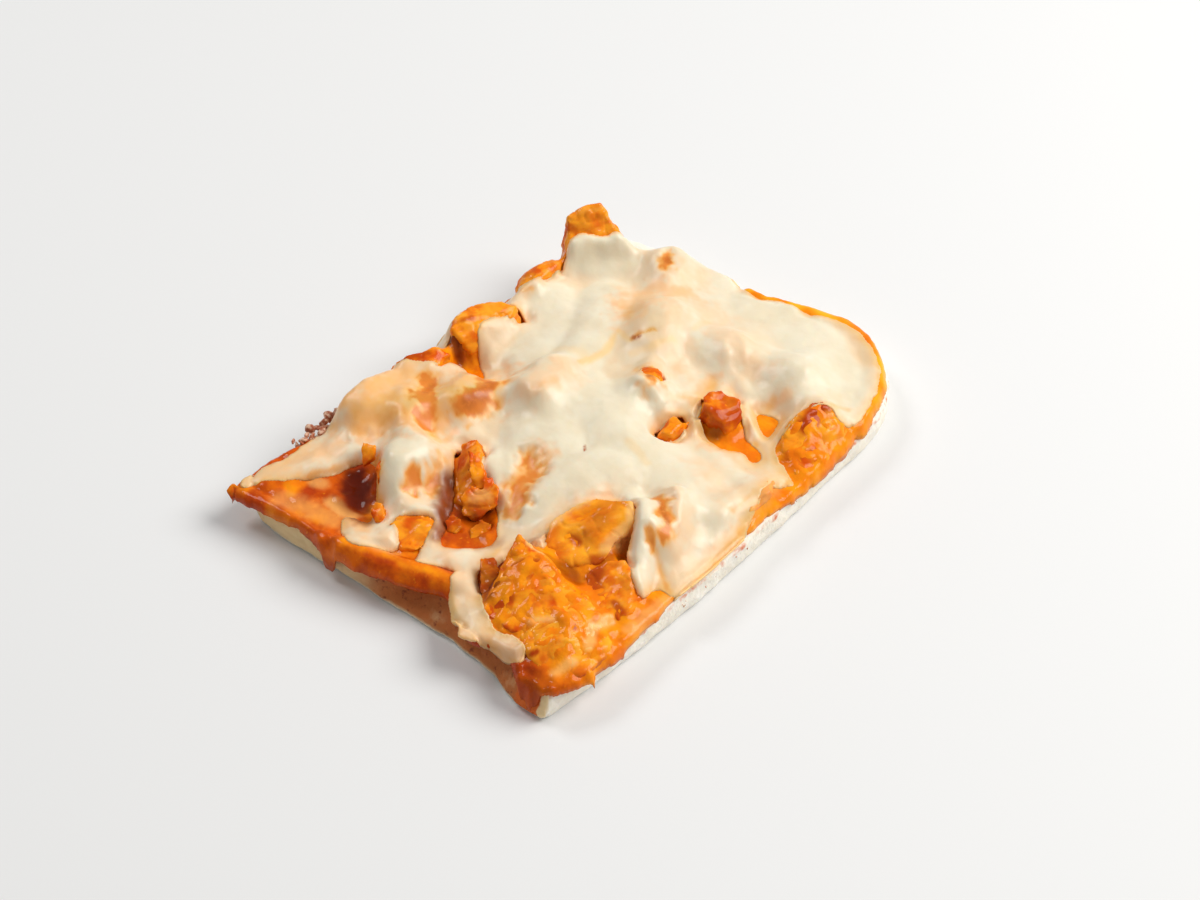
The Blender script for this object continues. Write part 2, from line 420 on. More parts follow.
# The stage, in metres: the camera's lens and film width are in millimetres.
FLOOR_REACH = 3.0
FLOOR_GREY = (0.79, 0.80, 0.81, 1.0)
ROOM_COLOUR = (1.0, 0.975, 0.945, 1.0)
ROOM_STRENGTH = 0.32
LENS = 68.7
SENSOR = 36.0
EYE = (-0.3465, -0.3011, 0.4389)
LOOKING = Vector((0.547, 0.473, -0.690))


def smooth_loop(points, steps=4):
    """A closed loop through the given plan points, x and y in turn, by a Catmull-Rom curve."""
    spots = np.reshape(points, (-1, 2))
    before, end, after = np.roll(spots, 1, 0), np.roll(spots, -1, 0), np.roll(spots, -2, 0)
    rounds = []
    for step in range(steps):
        t = step / steps
        rounds.append(
            0.5
            * (
                2 * spots
                + (end - before) * t
                + (2 * before - 5 * spots + 4 * end - after) * t * t
                + (3 * spots - before - 3 * end + after) * t**3
            )
        )
    return np.stack(rounds, 1).reshape(-1, 2)


def depth_inside(loop, x=X, y=Y):
    """How far plan points lie inside a closed loop, negative outside it."""
    nearest = np.full(x.shape, 1e9)
    inside = np.zeros(x.shape, bool)
    for (ax, ay), (bx, by) in zip(loop, np.roll(loop, -1, 0)):
        along_x, along_y = bx - ax, by - ay
        share = ((x - ax) * along_x + (y - ay) * along_y) / (along_x**2 + along_y**2 + 1e-12)
        share = np.clip(share, 0.0, 1.0)
        nearest = np.minimum(nearest, np.hypot(x - ax - share * along_x, y - ay - share * along_y))
        if ay != by:
            crossing = ((ay > y) != (by > y)) & (x < ax + (y - ay) / along_y * along_x)
            inside ^= crossing
    return np.where(inside, nearest, -nearest)


def reach(middle_x, middle_y, half_length, half_width, turn, x=X, y=Y):
    """0 at an ellipse's middle and 1 on its line."""
    angle = math.radians(turn)
    along = (x - middle_x) * math.cos(angle) + (y - middle_y) * math.sin(angle)
    across = (y - middle_y) * math.cos(angle) - (x - middle_x) * math.sin(angle)
    return np.hypot(along / half_length, across / half_width)


def stroke_reach(points, half_width, x=X, y=Y):
    """0 on a line through the plan points, x and y in turn, and 1 at half the stroke's width from it."""
    spots = np.reshape(points, (-1, 2))
    nearest = np.full(x.shape, 1e9)
    for (ax, ay), (bx, by) in zip(spots[:-1], spots[1:]):
        along_x, along_y = bx - ax, by - ay
        share = np.clip(((x - ax) * along_x + (y - ay) * along_y) / (along_x**2 + along_y**2), 0.0, 1.0)
        nearest = np.minimum(nearest, np.hypot(x - ax - share * along_x, y - ay - share * along_y))
    return nearest / half_width


def ovals(areas, low, high, wobble=0.0, x=X, y=Y):
    """The strongest of the ellipses at each plan point, fading from the low reach to the high one."""
    tone = np.zeros(x.shape)
    for *place, strength in areas:
        tone = np.maximum(tone, strength * (1.0 - ramp(reach(*place, x, y) + wobble, low, high)))
    return tone


def ramp(value, low, high):
    """0 at low and 1 at high, with a soft start and end."""
    t = np.clip((value - low) / (high - low), 0.0, 1.0)
    return t * t * (3 - 2 * t)


def ripples(size, seed, x=X, y=Y):
    """Smooth uneven values between about -1 and 1 that change over the given distance."""
    lattice = np.random.default_rng(seed).uniform(-1.0, 1.0, (97, 97))
    u, v = x / size + 31.7, y / size + 23.3
    i, j = np.floor(u).astype(int), np.floor(v).astype(int)
    f, g = u - i, v - j
    f, g = f * f * (3 - 2 * f), g * g * (3 - 2 * g)
    near = lattice[i % 97, j % 97] * (1 - f) + lattice[(i + 1) % 97, j % 97] * f
    far = lattice[i % 97, (j + 1) % 97] * (1 - f) + lattice[(i + 1) % 97, (j + 1) % 97] * f
    return near * (1 - g) + far * g


def blur(field, rounds, weight=None):
    """Averages a plan field with its neighbours, leaving out those of no weight."""
    weight = np.ones_like(field) if weight is None else weight
    for _ in range(rounds):
        total = weight * field * 2.0
        share = weight * 2.0
        for axis in (0, 1):
            for shift in (-1, 1):
                beside = np.roll(weight, shift, axis)
                total += beside * np.roll(field, shift, axis)
                share = share + beside
        field = np.where(share > 0, total / np.maximum(share, 1e-9), field)
    return field


def swept(field, radius, sign=1.0):
    """The surface that a ball of the given radius leaves when its middle runs over the field."""
    reach_cells = int(radius / CELL)
    padded = np.pad(field, reach_cells, mode="edge")
    rows, columns = field.shape
    result = np.full(field.shape, -np.inf)
    for row in range(-reach_cells, reach_cells + 1):
        for column in range(-reach_cells, reach_cells + 1):
            rest = radius**2 - (row**2 + column**2) * CELL**2
            if rest < 0:
                continue
            top, left = reach_cells + row, reach_cells + column
            beside = padded[top : top + rows, left : left + columns]
            result = np.maximum(result, sign * beside + math.sqrt(rest))
    return sign * result


def filled(field, radius):
    """The field with its valleys filled to rounds of the given radius, as a thick sheet bridges them."""
    return swept(swept(field, radius), radius, -1.0)


def sample(field, x, y):
    """A plan field's value between its grid points."""
    u = np.clip((x - GRID_X[0]) / CELL, 0, len(GRID_X) - 1.001)
    v = np.clip((y - GRID_Y[0]) / CELL, 0, len(GRID_Y) - 1.001)
    i, j = u.astype(int), v.astype(int)
    f, g = u - i, v - j
    return (
        field[j, i] * (1 - f) * (1 - g)
        + field[j, i + 1] * f * (1 - g)
        + field[j + 1, i] * (1 - f) * g
        + field[j + 1, i + 1] * f * g
    )


def painted(strokes, x, y, seed, rough=0.22, soft=(0.3, 1.3)):
    """The strongest of the strokes at each plan point, soft and uneven at their edges."""
    wobble = rough * (ripples(2.4, seed, x, y) + 0.6 * ripples(1.1, seed + 1, x, y))
    tone = np.zeros(x.shape)
    for line, half_width, strength in strokes:
        out = stroke_reach(line, half_width, x, y) + wobble
        tone = np.maximum(tone, strength * (1.0 - ramp(out, *soft)))
    return tone


def plan_of(mesh):
    """A mesh's points as plan x, plan y and height, in millimetres."""
    points = np.empty(len(mesh.vertices) * 3)
    mesh.vertices.foreach_get("co", points)
    return (points.reshape(-1, 3) - np.array(CORNER)) / MM


def put_points(mesh, points):
    """Moves a mesh's points to the given plan positions and heights."""
    mesh.vertices.foreach_set("co", (points * MM + np.array(CORNER)).ravel())
    mesh.update()


def add_values(mesh, name, values):
    """Stores one number for each point, for a material to read."""
    attribute = mesh.attributes.new(name, "FLOAT", "POINT")
    attribute.data.foreach_set("value", np.asarray(values, np.float32))


def normals_of(mesh):
    """The direction that each of a mesh's points faces."""
    normals = np.empty(len(mesh.vertices) * 3)
    mesh.vertices.foreach_get("normal", normals)
    return normals.reshape(-1, 3)


def made_mesh(name, shape):
    """A mesh of the modelled shape, which is used up."""
    mesh = bpy.data.meshes.new(name)
    shape.to_mesh(mesh)
    shape.free()
    return mesh


def new_piece(name, mesh, material, slot, *nodes):
    """A finished piece that rides on the slice and stands for the given nodes."""
    piece = bpy.data.objects.new(name, mesh)
    bpy.context.scene.collection.objects.link(piece)
    mesh.materials.clear()
    mesh.materials.append(material)
    mesh.shade_smooth()
    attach(piece, BODY)
    if nodes:
        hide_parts(*nodes)
    return piece


def remeshed(mesh, voxel):
    """The same closed shape with an even net of small faces."""
    holder = bpy.data.objects.new("holder", mesh)
    bpy.context.scene.collection.objects.link(holder)
    remesh = holder.modifiers.new("even net", "REMESH")
    remesh.mode = "VOXEL"
    remesh.voxel_size = voxel * MM
    result = bpy.data.meshes.new_from_object(holder.evaluated_get(bpy.context.evaluated_depsgraph_get()))
    bpy.data.objects.remove(holder)
    return result


def merged_copy(node):
    """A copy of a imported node's mesh with its loose triangles joined."""
    shape = bmesh.new()
    shape.from_mesh(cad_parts[node].data)
    bmesh.ops.remove_doubles(shape, verts=shape.verts, dist=TOUCHING)
    return made_mesh(node + "_copy", shape)


def pinched_corners(mesh):
    """The points where two squares touch only at a corner."""
    return [vert for vert in mesh.verts if sum(edge.is_boundary for edge in vert.link_edges) > 2]


def trimmed_grid(cover):
    """The plan grid's squares where the cover is above zero, with none that touch only at a corner."""
    mesh = bmesh.new()
    columns, rows = len(GRID_X) - 1, len(GRID_Y) - 1
    middle = Matrix.Translation(((GRID_X[0] + GRID_X[-1]) / 2, (GRID_Y[0] + GRID_Y[-1]) / 2, 0.0))
    spread = Matrix.Diagonal((GRID_X[-1] - GRID_X[0], GRID_Y[-1] - GRID_Y[0], 1.0, 1.0))
    bmesh.ops.create_grid(mesh, x_segments=columns, y_segments=rows, size=0.5, matrix=middle @ spread)
    centres = np.array([face.calc_center_median() for face in mesh.faces])
    outside = sample(cover, centres[:, 0], centres[:, 1]) < 0.0
    bmesh.ops.delete(
        mesh, geom=[face for face, out in zip(mesh.faces, outside) if out], context="FACES"
    )
    while pinched := pinched_corners(mesh):
        bmesh.ops.delete(mesh, geom=[pinched[0].link_faces[0]], context="FACES")
    return mesh


def slide_rim(mesh, cover):
    """Moves the rim's points to where the cover is zero, and smooths them."""
    slope_y, slope_x = np.gradient(cover, CELL)
    rim = [vert for vert in mesh.verts if vert.is_boundary]
    spots = np.array([vert.co for vert in rim])
    here, run, rise = (sample(field, spots[:, 0], spots[:, 1]) for field in (cover, slope_x, slope_y))
    steep = np.maximum(np.hypot(run, rise), 0.35)
    slide = np.clip(-here / steep, -0.75 * CELL, 0.75 * CELL)
    for vert, step_x, step_y in zip(rim, slide * run / steep, slide * rise / steep):
        vert.co.x += step_x
        vert.co.y += step_y
    for _ in range(2):
        bmesh.ops.smooth_vert(mesh, verts=rim, factor=0.4, use_axis_x=True, use_axis_y=True)


def layer_mesh(name, cover, top, foot):
    """A closed layer where the cover is above zero, between its foot and its top; gives its plan points."""
    mesh = trimmed_grid(cover)
    slide_rim(mesh, cover)
    raised = bmesh.ops.extrude_face_region(mesh, geom=mesh.faces[:])["geom"]
    for vert in (item for item in raised if isinstance(item, bmesh.types.BMVert)):
        vert.co.z = 1.0
    bmesh.ops.recalc_face_normals(mesh, faces=mesh.faces)
    data = made_mesh(name, mesh)
    points = np.empty(len(data.vertices) * 3)
    data.vertices.foreach_get("co", points)
    x, y, raised_by = points.reshape(-1, 3).T
    heights = np.where(raised_by > 0.5, sample(top, x, y), sample(foot, x, y))
    put_points(data, np.column_stack((x, y, heights)))
    return data, x, y


# ---------------------------------------------------------------------------------------------------
# Materials
# ---------------------------------------------------------------------------------------------------


class Finish:
    """A material's node tree, with short ways to add the nodes that the finishes share."""

    def __init__(self, name, roughness):
        self.material = bpy.data.materials.new(name)
        self.material.use_nodes = True
        self.nodes = self.material.node_tree.nodes
        self.links = self.material.node_tree.links
        self.shader = self.nodes["Principled BSDF"]
        self.shader.inputs["Roughness"].default_value = roughness
        self.place = self.nodes.new("ShaderNodeTexCoord").outputs["Object"]

    def value(self, name):
        node = self.nodes.new("ShaderNodeAttribute")
        node.attribute_name = name
        return node.outputs["Fac"]

    def noise(self, size, detail=3.0, rough=0.55, distortion=0.0):
        """Clouds of noise whose blobs are about the given number of millimetres across."""
        node = self.nodes.new("ShaderNodeTexNoise")
        node.inputs["Scale"].default_value = 1.0 / (size * MM)
        node.inputs["Detail"].default_value = detail
        node.inputs["Roughness"].default_value = rough
        node.inputs["Distortion"].default_value = distortion
        self.links.new(self.place, node.inputs["Vector"])
        return node.outputs["Fac"]

    def fibres(self, width, length, turn):
        """Noise drawn out into strands of the given width and length in millimetres, turned in plan."""
        stretch = self.nodes.new("ShaderNodeMapping")
        stretch.vector_type = "TEXTURE"
        stretch.inputs["Rotation"].default_value = (0.0, 0.0, math.radians(turn))
        stretch.inputs["Scale"].default_value = (length * MM, width * MM, width * MM)
        self.links.new(self.place, stretch.inputs["Vector"])
        node = self.nodes.new("ShaderNodeTexNoise")
        node.inputs["Scale"].default_value = 1.0
        node.inputs["Detail"].default_value = 2.0
        self.links.new(stretch.outputs["Vector"], node.inputs["Vector"])
        return node.outputs["Fac"]

    def band(self, source, low, high):
        """0 below the low value and 1 above the high one."""
        node = self.nodes.new("ShaderNodeMapRange")
        node.interpolation_type = "SMOOTHSTEP"
        node.inputs["From Min"].default_value = low
        node.inputs["From Max"].default_value = high
        self.links.new(source, node.inputs["Value"])
        return node.outputs["Result"]

    def times(self, first, second):
        return self.math("MULTIPLY", first, second)

    def math(self, operation, first, second):
        node = self.nodes.new("ShaderNodeMath")
        node.operation = operation
        node.use_clamp = operation != "SUBTRACT"
        for socket, source in zip(node.inputs, (first, second)):
            if isinstance(source, (int, float)):
                socket.default_value = source
            else:
                self.links.new(source, socket)
        return node.outputs["Value"]

    def mix(self, share, first, second):
        """A colour between two colours, each a colour or another node's output."""
        node = self.nodes.new("ShaderNodeMix")
        node.data_type = "RGBA"
        self.links.new(share, node.inputs["Factor"])
        for socket, source in ((node.inputs[6], first), (node.inputs[7], second)):
            if isinstance(source, tuple):
                socket.default_value = (*source, 1.0)
            else:
                self.links.new(source, socket)
        return node.outputs[2]

    def coats(self, ground, **layers):
        """Colours the surface: the ground, with each layer's colour laid over it by its share, in turn."""
        for share, tone in layers.values():
            ground = self.mix(share, ground, tone)
        self.links.new(ground, self.shader.inputs["Base Color"])

    def gloss(self, share, dull, wet):
        """Roughness between two values."""
        node = self.nodes.new("ShaderNodeMapRange")
        node.inputs["To Min"].default_value = dull
        node.inputs["To Max"].default_value = wet
        self.links.new(share, node.inputs["Value"])
        self.links.new(node.outputs["Result"], self.shader.inputs["Roughness"])

    def relief(self, source, height):
        """Fine bumps of the given height in millimetres, on top of any earlier ones."""
        node = self.nodes.new("ShaderNodeBump")
        node.inputs["Distance"].default_value = height * MM
        self.links.new(source, node.inputs["Height"])
        normal = self.shader.inputs["Normal"]
        if normal.is_linked:
            self.links.new(normal.links[0].from_socket, node.inputs["Normal"])
        self.links.new(node.outputs["Normal"], normal)

    def flesh(self, weight, radius, scale):
        """Light that seeps through the surface, over about the given number of millimetres."""
        self.shader.inputs["Subsurface Weight"].default_value = weight
        self.shader.inputs["Subsurface Radius"].default_value = radius
        self.shader.inputs["Subsurface Scale"].default_value = scale * MM


def cheese_finish():
    """Ivory where the sheet is thick, tan and orange where it is thin, brown where it caught the heat."""
    finish = Finish("melted_cheese", 0.4)
    cloud = finish.noise(9.0, 3.0)
    patches = finish.noise(5.0, 2.0)
    fine = finish.noise(1.4, 4.0)
    ivory = finish.mix(finish.band(cloud, 0.35, 0.65), (0.79, 0.70, 0.52), (0.82, 0.75, 0.585))
    veil = finish.math("ADD", finish.value("blush"), finish.times(finish.band(patches, 0.45, 0.8), 0.1))
    uneven = finish.math("ADD", finish.times(finish.band(patches, 0.25, 0.7), 0.35), 0.65)
    seep = finish.times(finish.value("bleed"), uneven)
    scorch = finish.times(finish.value("brown"), finish.band(fine, 0.2, 0.55))
    finish.coats(
        ivory,
        blush=(finish.band(veil, 0.0, 1.1), (0.90, 0.54, 0.27)),
        honey=(finish.band(seep, 0.0, 0.85), (0.90, 0.46, 0.12)),
        stain=(finish.band(seep, 0.5, 1.2), (0.74, 0.20, 0.012)),
        scorch=(scorch, (0.42, 0.08, 0.005)),
        shade=(finish.value("shade"), (0.26, 0.05, 0.006)),
        oil=(finish.times(finish.value("oil"), 0.55), (0.92, 0.56, 0.14)),
    )
    finish.shader.inputs["Specular IOR Level"].default_value = 0.35
    finish.gloss(fine, dull=0.38, wet=0.24)
    finish.relief(fine, height=0.04)
    finish.relief(finish.noise(4.5, 2.0), height=0.1)
    finish.flesh(weight=0.7, radius=(1.0, 0.8, 0.62), scale=1.3)
    return finish.material


def wet_coat(finish):
    """A thin glaze of oil that catches small sharp lights."""
    finish.shader.inputs["Specular IOR Level"].default_value = 0.03
    finish.shader.inputs["Coat Weight"].default_value = 0.5
    finish.shader.inputs["Coat Roughness"].default_value = 0.08
    finish.shader.inputs["Coat IOR"].default_value = 1.36


def sauce_finish():
    """Wet sauce: red orange on the left, amber at the right rim, deep brown in its hollows."""
    finish = Finish("orange_sauce", 0.45)
    cloud = finish.noise(6.0, 4.0)
    fine = finish.noise(1.3, 3.0)
    share = finish.band(cloud, 0.36, 0.66)
    red = finish.mix(share, (0.46, 0.045, 0.0008), (0.72, 0.11, 0.001))
    amber = finish.mix(share, (0.86, 0.19, 0.002), (0.97, 0.32, 0.004))
    amber = finish.mix(finish.value("honey"), amber, (0.98, 0.44, 0.015))
    finish.coats(
        finish.mix(finish.value("amber"), red, amber),
        clots=(finish.times(finish.band(fine, 0.6, 0.8), 0.6), (0.95, 0.32, 0.01)),
        film=(finish.value("film"), (0.94, 0.47, 0.13)),
        deep=(finish.value("deep"), (0.15, 0.012, 0.0005)),
    )
    finish.gloss(fine, dull=0.52, wet=0.36)
    finish.relief(fine, height=0.14)
    finish.relief(finish.noise(3.4, 2.0), height=0.35)
    wet_coat(finish)
    return finish.material


def chicken_finish():
    """Torn chicken in sauce: orange to yellow, with rust brown marks, dark where it hides."""
    finish = Finish("sauced_chicken", 0.45)
    cloud = finish.noise(5.0, 3.0, distortion=0.3)
    fine = finish.noise(1.3, 3.0)
    strands = finish.fibres(2.2, 5.0, -25.0)
    orange = finish.mix(finish.band(cloud, 0.38, 0.62), (0.70, 0.09, 0.001), (1.0, 0.30, 0.005))
    between = finish.math("SUBTRACT", 1.0, finish.band(strands, 0.3, 0.44))
    finish.coats(
        orange,
        yellow=(finish.value("yellow"), (1.0, 0.40, 0.02)),
        streak=(finish.times(finish.band(strands, 0.52, 0.72), 0.32), (0.66, 0.08, 0.001)),
        pale=(finish.times(between, 0.22), (1.0, 0.50, 0.10)),
        film=(finish.value("film"), (0.96, 0.57, 0.20)),
        brown=(finish.value("brown"), (0.46, 0.05, 0.001)),
        deep=(finish.times(finish.value("deep"), 0.8), (0.30, 0.035, 0.001)),
    )
    finish.gloss(fine, dull=0.52, wet=0.36)
    finish.relief(fine, height=0.06)
    finish.relief(strands, height=0.12)
    finish.flesh(weight=0.15, radius=(1.0, 0.35, 0.08), scale=2.0)
    wet_coat(finish)
    return finish.material


def dough_finish():
    """Pale baked crumb, toasted and stained with sauce on the front side."""
    finish = Finish("baked_dough", 0.78)
    cloud = finish.noise(7.0, 4.0)
    fine = finish.noise(0.9, 5.0)
    crumb = finish.mix(finish.band(cloud, 0.35, 0.7), (0.90, 0.84, 0.72), (0.93, 0.89, 0.80))
    freckles = finish.band(finish.noise(2.0, 4.0), 0.56, 0.7)
    spread = finish.math("SUBTRACT", finish.noise(3.0, 4.0), 0.5)
    stain = finish.math("ADD", finish.value("stain"), spread)
    finish.coats(
        crumb,
        tan=(finish.value("tan"), (0.84, 0.62, 0.33)),
        toast=(finish.times(finish.value("toast"), finish.band(cloud, 0.0, 0.42)), (0.50, 0.14, 0.025)),
        freckle=(finish.times(finish.value("toast"), freckles), (0.26, 0.05, 0.006)),
        sauce=(finish.band(stain, 0.4, 0.75), (0.66, 0.12, 0.004)),
    )
    finish.relief(fine, height=0.25)
    finish.relief(finish.noise(2.6, 3.0), height=0.3)
    finish.flesh(weight=0.2, radius=(1.0, 0.8, 0.55), scale=1.5)
    return finish.material


# ---------------------------------------------------------------------------------------------------
# Pieces
# ---------------------------------------------------------------------------------------------------


def dough_outline():
    """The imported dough's plan at its widest level, in order round it."""
    plan = plan_of(merged_copy("dough"))
    level = plan[np.abs(plan[:, 2] - 2.6) < 0.3][:, :2]
    middle = level.mean(0)
    order = np.argsort(np.arctan2(level[:, 1] - middle[1], level[:, 0] - middle[0]))
    return level[order]


def dough_bumps(points):
    """How far the cut sides wave out, and how deep their pores are."""
    bumps = np.empty(len(points))
    for index, (east, north, up) in enumerate(points):
        wave = noise.noise(Vector((east / 6.0, north / 6.0, up / 3.5)))
        pore = noise.noise(Vector((east / 1.6, north / 1.6, up / 1.1 + 40.0)))
        bumps[index] = DOUGH_WAVES * wave + DOUGH_PORES * min(0.25, pore)
    return bumps


def lean_sides(x, y, z):
    """Leans the front side in towards its top, and swells the front corner's foot."""
    lean = FRONT_LEAN * ramp(y, 6.0, 16.0) * (1.0 - ramp(y, 52.0, 66.0))
    lean += MIDDLE_LEAN * ramp(y, 30.0, 42.0) * (1.0 - ramp(y, 50.0, 62.0))
    x += lean * ramp(z, 0.0, DOUGH_TOP) * (1.0 - ramp(x, 4.0, 16.0))
    corner_out = CORNER_SWELL * (1.0 - ramp(np.hypot(x, y - 8.0), 2.0, 14.0))
    corner_out *= 1.0 - ramp(x, 0.0, 8.0)
    x -= corner_out * (1.0 - 0.6 * z / DOUGH_TOP)


def make_dough(material):
    """The bread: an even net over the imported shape, toasted and stained on its front side."""
    mesh = remeshed(merged_copy("dough"), DOUGH_NET)
    points = plan_of(mesh)
    x, y, z = points.T
    normals = normals_of(mesh)
    side = ramp(1.0 - np.abs(normals[:, 2]), 0.1, 0.7)
    front = ramp(14.0 - x, 0.0, 12.0) * ramp(-normals[:, 0], 0.2, 0.8)
    right = ramp(-normals[:, 1], 0.2, 0.8)
    lift = dough_bumps(points) * side * np.where(z > 0.2, 1.0, 0.0)
    points += normals * lift[:, None]
    z[:] = np.clip(z, 0.0, DOUGH_TOP)
    lean_sides(x, y, z)
    put_points(mesh, points)
    lengthwise = ramp(y, 2.0, 7.0) * (1.0 - ramp(y, 58.0, 76.0))
    toast = front * ramp(z, 0.8, 2.2) * lengthwise
    stain = front * ramp(y, 2.2, 4.0) * (1.3 - ramp(y, 7.0, 12.0) - 0.3 * ramp(y, 22.0, 40.0))
    stain = np.maximum(stain, right * ramp(z, 4.6, 8.0) * 0.5)
    add_values(mesh, "toast", np.clip(toast, 0.0, 1.0))
    add_values(mesh, "tan", front * ramp(z, 0.4, 1.6))
    add_values(mesh, "stain", stain)
    return new_piece("dough_base", mesh, material, "dough", "dough")


# How torn bare chicken, chicken under the cheese and small bits are: the rounds that smooth them, and the
# heights of their lumps and strands and the depths of their pits and creases, in millimetres.
BARE = {"rounds": 2, "lumps": 1.1, "strands": 0.5, "pits": 0.06, "creases": 0.3}
BURIED = {"rounds": 3, "lumps": 0.8, "strands": 0.4, "pits": 0.1, "creases": 0.3}
BIT = {"rounds": 3, "lumps": 0.5, "strands": 0.35, "pits": 0.12, "creases": 0.3}
# How near to a turn in the noise a crease starts.
CREASE_WIDTH = 0.12


def torn_hull(name, corners):
    """The closed block through a piece's corners."""
    block = bmesh.new()
    for x, y, z in corners:
        block.verts.new(CORNER + Vector((x, y, z)) * MM)
    hull = bmesh.ops.convex_hull(block, input=block.verts)
    loose = set(hull["geom_interior"] + hull["geom_unused"])
    bmesh.ops.delete(block, geom=[item for item in loose if isinstance(item, bmesh.types.BMVert)])
    bmesh.ops.recalc_face_normals(block, faces=block.faces)
    return made_mesh(name, block)


def torn_surface(mesh, seed, rounds, lumps, strands, pits, creases):
    """Rounds a block's edges and tears its surface; gives its points and a blotchy value."""
    rounding = bmesh.new()
    rounding.from_mesh(mesh)
    for _ in range(rounds):
        bmesh.ops.smooth_vert(
            rounding, verts=rounding.verts, factor=0.5, use_axis_x=True, use_axis_y=True, use_axis_z=True
        )
    rounding.to_mesh(mesh)
    rounding.free()
    points = plan_of(mesh)
    lift = np.empty(len(points))
    blotches = np.empty(len(points))
    for index, point in enumerate(points):
        spot = Vector(point)
        along = Vector((spot.x / 6.0, (spot.y + 0.3 * spot.x) / 1.6, spot.z / 1.8))
        lift[index] = lumps * noise.noise(spot / 6.0 + seed) + strands * noise.noise(along + seed)
        lift[index] += pits * noise.noise(spot / 1.2 + seed)
        lift[index] -= creases * max(0.0, 1.0 - abs(noise.noise(spot / 4.4 - seed)) / CREASE_WIDTH)
        blotches[index] = noise.noise(spot / 4.0 - seed)
    points += normals_of(mesh) * lift[:, None]
    put_points(mesh, points)
    return points, blotches


def add_chicken_values(mesh, points, blotches, yellow, toast):
    """The tones of torn chicken: yellow, rust brown, filmed with cheese and dark where it lies deep."""
    x, y, z = points.T
    low, high = z.min(), z.max()
    height = ramp(z, 0.6 * low + 0.4 * high, high)
    marks = painted(RUSTED, x, y, 31)
    add_values(mesh, "brown", np.maximum(marks, 0.6 * toast * ramp(blotches, 0.16, 0.42) * height))
    add_values(mesh, "film", painted(CHEESE_FILMS, x, y, 33))
    buried = 0.7 * (1.0 - ramp(z, SAUCE_LEVEL - 1.6, SAUCE_LEVEL + 0.8))
    hollow = ovals(DARK_HOLLOWS, 0.5, 1.3, x=x, y=y)
    buried = np.maximum(buried, hollow * (1.0 - ramp(z, 12.0, 17.0)))
    add_values(mesh, "deep", buried)
    add_values(mesh, "yellow", np.clip(yellow + 0.9 * blotches, 0.0, 1.0))


def make_chunk(node, material):
    """A torn piece of chicken: a block through its own corners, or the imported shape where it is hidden."""
    seed = Vector((7.3 * CHUNK_NODES.index(node), 1.7, 4.1))
    if node in TORN_CORNERS:
        mesh = remeshed(torn_hull(node, TORN_CORNERS[node]), TORN_NET)
        points, blotches = torn_surface(mesh, seed, **BARE)
    else:
        mesh = remeshed(merged_copy(node), BURIED_NET)
        points, blotches = torn_surface(mesh, seed, **BURIED)
    add_chicken_values(mesh, points, blotches, *CHUNK_TINTS.get(node, (0.1, 0.3)))
    return new_piece(node + "_torn", mesh, material, "chicken", node)


def make_bits(material):
    """The small torn bits in the hollows, as one piece."""
    joined = bmesh.new()
    for corners in BIT_CORNERS:
        block = torn_hull("bit", corners)
        joined.from_mesh(block)
        bpy.data.meshes.remove(block)
    mesh = remeshed(made_mesh("torn_bits", joined), BIT_NET)
    points, blotches = torn_surface(mesh, Vector((3.0, 9.0, 2.0)), **BIT)
    add_chicken_values(mesh, points, blotches, 0.15, 1.0)
    return new_piece("torn_bits", mesh, material, "chicken")


def crumb_finish():
    """Crisp baked crumbs, tan to rust brown."""
    finish = Finish("baked_crumb", 0.6)
    fine = finish.noise(1.1, 3.0)
    finish.coats(finish.mix(finish.band(fine, 0.38, 0.62), (0.38, 0.09, 0.03), (0.80, 0.52, 0.36)))
    finish.relief(finish.noise(0.5, 3.0), height=0.1)
    return finish.material


def make_crumbs(name, trail, count, sizes, seed, material, slot):
    """Crumbs strewn along a trail: plan x, y and height of its points, and how far they stray."""
    draw = np.random.default_rng(seed)
    crumbs = bmesh.new()
    for index in range(count):
        share = draw.uniform(0.0, len(trail) - 1.001)
        step = int(share)
        spot = Vector(trail[step][:3]).lerp(Vector(trail[step + 1][:3]), share - step)
        spot += Vector(draw.normal(0.0, 1.0, 3)) * trail[step][3]
        size = draw.uniform(*sizes)
        angle = draw.uniform(0.0, math.tau)
        axis = Vector(draw.normal(0.0, 1.0, 3)).normalized()
        turn = Matrix.Rotation(angle, 4, axis)
        shape = Matrix.Diagonal((size, size * draw.uniform(0.5, 0.9), size * draw.uniform(0.25, 0.45), 1))
        place = Matrix.Translation(CORNER + spot * MM) @ turn @ shape
        made = bmesh.ops.create_icosphere(crumbs, subdivisions=2, radius=MM)["verts"]
        for vert in made:
            vert.co *= 1.0 + 0.35 * noise.noise(vert.co / MM * 1.4 + Vector((index * 3.7, 0.0, 0.0)))
        bmesh.ops.transform(crumbs, matrix=place, verts=made)
    return new_piece(name, made_mesh(name, crumbs), material, slot)


def relief_of(pieces):
    """The height of the given pieces' tops over the plan grid."""
    joined = bmesh.new()
    for piece in pieces:
        joined.from_mesh(piece.data)
    tree = BVHTree.FromBMesh(joined)
    joined.free()
    heights = np.zeros(X.shape)
    down = Vector((0.0, 0.0, -1.0))
    for row in range(X.shape[0]):
        for column in range(X.shape[1]):
            start = CORNER + Vector((X[row, column], Y[row, column], 60.0)) * MM
            hit = tree.ray_cast(start, down)[0]
            if hit is not None:
                heights[row, column] = hit.z / MM
    return heights


